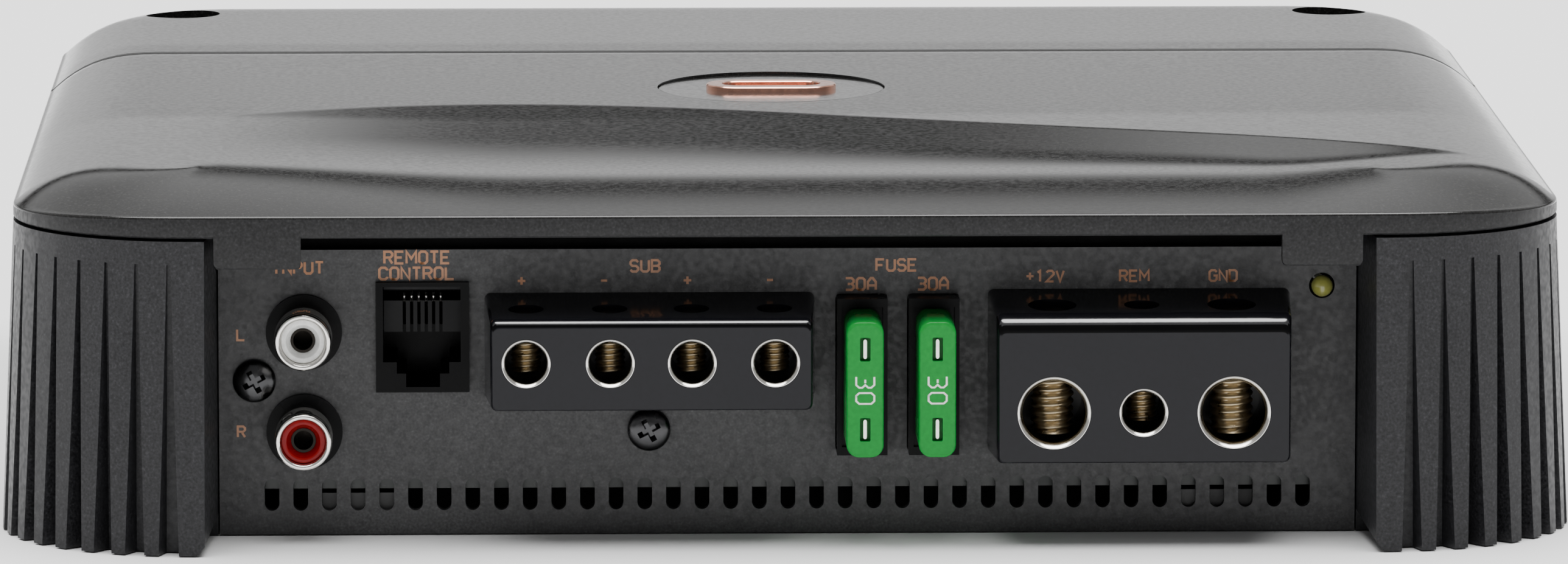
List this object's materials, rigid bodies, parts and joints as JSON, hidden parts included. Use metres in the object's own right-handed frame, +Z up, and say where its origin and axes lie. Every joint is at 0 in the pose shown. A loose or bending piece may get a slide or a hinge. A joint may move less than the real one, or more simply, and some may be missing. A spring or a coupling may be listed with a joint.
{
  "type": "car audio amplifier",
  "caption": "Compact car audio amplifier with ribbed wraparound heatsinks, lift-off top cover, screw terminals, blade fuses, phono inputs and a remote socket.",
  "frame": {"origin": "centre of the footprint on the mounting surface", "axes": "+X right seen from the connector side, connectors at -Y, +Z up"},
  "size_m": [0.22, 0.224, 0.0517],
  "materials": {
    "heatsink_paint": "satin speckled paint on die casting",
    "cover_paint": "satin speckled paint",
    "panel_paint": "satin fine texture",
    "base_steel": "satin",
    "bright_steel": "bright zinc",
    "black_screw": "black oxide",
    "nickel": "nickel plated, glossy",
    "terminal_plastic": "gloss",
    "jack_plastic": "satin",
    "gold_contact": "gold plated",
    "fuse_green": "translucent gloss",
    "fuse_zinc": "bright",
    "white_plastic": "gloss",
    "red_plastic": "gloss",
    "led_lens": "clear tinted",
    "badge_metal": "satin",
    "emblem_copper": "polished rose gold",
    "board": "solder mask",
    "component": "matte",
    "winding": "enamelled copper",
    "can": "sleeved",
    "pad": "matte",
    "knob_plastic": "satin"
  },
  "bodies": {
    "chassis": {"left_heatsink": "heatsink_paint", "right_heatsink": "heatsink_paint", "base_plate": "base_steel", "base_screws": "bright_steel", "base_nut_blocks": "base_steel", "front_panel": "panel_paint", "rear_panel": "panel_paint", "front_panel_screws": "black_screw", "rear_panel_screws": "black_screw", "rear_screw_blocks": "jack_plastic", "mounting_bushes": "bright_steel", "rear_cover": "cover_paint", "speaker_terminal_block": "terminal_plastic", "speaker_wire_inserts": "nickel", "power_terminal_block": "terminal_plastic", "power_wire_inserts": "nickel", "fuse_contacts": "nickel", "rca_housing": "jack_plastic", "rca_shells": "nickel", "rca_insulator_left": "white_plastic", "rca_insulator_right": "red_plastic", "rca_contacts": "gold_contact", "control_jack_body": "jack_plastic", "control_jack_contacts": "gold_contact", "power_led": "led_lens", "main_board": "board", "board_screws": "bright_steel", "board_components": "component", "toroid_transformer": "winding", "toroid_clamp": "bright_steel", "output_inductor": "winding", "filter_capacitors": "can", "control_pots": "jack_plastic", "filter_switch_body": "jack_plastic", "power_transistors_left": "component", "power_transistors_right": "component", "insulating_pad_left": "pad", "insulating_pad_right": "pad", "clamp_bar_left": "bright_steel", "clamp_bar_right": "bright_steel", "fuse_holder_left": "jack_plastic", "fuse_holder_right": "jack_plastic"},
    "front_cover": {"front_cover": "cover_paint", "badge_disc": "badge_metal", "badge_emblem": "emblem_copper"},
    "left_fuse": {"fuse_left_body": "fuse_green", "fuse_left_blades": "fuse_zinc"},
    "right_fuse": {"fuse_right_body": "fuse_green", "fuse_right_blades": "fuse_zinc"},
    "level_knob": {"level_knob": "knob_plastic"},
    "crossover_knob": {"crossover_knob": "knob_plastic"},
    "bass_knob": {"bass_knob": "knob_plastic"},
    "filter_switch": {"filter_switch_slider": "knob_plastic"},
    "speaker_clamp_screw_1": {"speaker_clamp_screw_1": "black_screw"},
    "speaker_clamp_screw_2": {"speaker_clamp_screw_2": "black_screw"},
    "speaker_clamp_screw_3": {"speaker_clamp_screw_3": "black_screw"},
    "speaker_clamp_screw_4": {"speaker_clamp_screw_4": "black_screw"},
    "power_clamp_screw_1": {"power_clamp_screw_1": "black_screw"},
    "power_clamp_screw_2": {"power_clamp_screw_2": "black_screw"},
    "power_clamp_screw_3": {"power_clamp_screw_3": "black_screw"}
  },
  "joints": [
    {"name": "cover_lift", "type": "slide", "parent": "chassis", "child": "front_cover", "axis": [0, 0, 1], "range_m": [0, 0.07]},
    {"name": "left_fuse_pull", "type": "slide", "parent": "chassis", "child": "left_fuse", "axis": [0, -1, 0], "range_m": [0, 0.03]},
    {"name": "right_fuse_pull", "type": "slide", "parent": "chassis", "child": "right_fuse", "axis": [0, -1, 0], "range_m": [0, 0.03]},
    {"name": "filter_switch_slide", "type": "slide", "parent": "chassis", "child": "filter_switch", "axis": [1, 0, 0], "range_m": [0, 0.0044]},
    {"name": "level_turn", "type": "hinge", "parent": "chassis", "child": "level_knob", "pos_m": [-0.008, 0.0956, 0.024], "axis": [0, 1, 0], "range_deg": [-150, 150]},
    {"name": "crossover_turn", "type": "hinge", "parent": "chassis", "child": "crossover_knob", "pos_m": [0.018, 0.0956, 0.024], "axis": [0, 1, 0], "range_deg": [-150, 150]},
    {"name": "bass_turn", "type": "hinge", "parent": "chassis", "child": "bass_knob", "pos_m": [0.044, 0.0956, 0.024], "axis": [0, 1, 0], "range_deg": [-150, 150]},
    {"name": "speaker_screw_1_back_out", "type": "slide", "parent": "chassis", "child": "speaker_clamp_screw_1", "axis": [0, 0, 1], "range_m": [0, 0.005]},
    {"name": "speaker_screw_2_back_out", "type": "slide", "parent": "chassis", "child": "speaker_clamp_screw_2", "axis": [0, 0, 1], "range_m": [0, 0.005]},
    {"name": "speaker_screw_3_back_out", "type": "slide", "parent": "chassis", "child": "speaker_clamp_screw_3", "axis": [0, 0, 1], "range_m": [0, 0.005]},
    {"name": "speaker_screw_4_back_out", "type": "slide", "parent": "chassis", "child": "speaker_clamp_screw_4", "axis": [0, 0, 1], "range_m": [0, 0.005]},
    {"name": "power_screw_1_back_out", "type": "slide", "parent": "chassis", "child": "power_clamp_screw_1", "axis": [0, 0, 1], "range_m": [0, 0.008]},
    {"name": "power_screw_2_back_out", "type": "slide", "parent": "chassis", "child": "power_clamp_screw_2", "axis": [0, 0, 1], "range_m": [0, 0.005]},
    {"name": "power_screw_3_back_out", "type": "slide", "parent": "chassis", "child": "power_clamp_screw_3", "axis": [0, 0, 1], "range_m": [0, 0.008]}
  ]
}
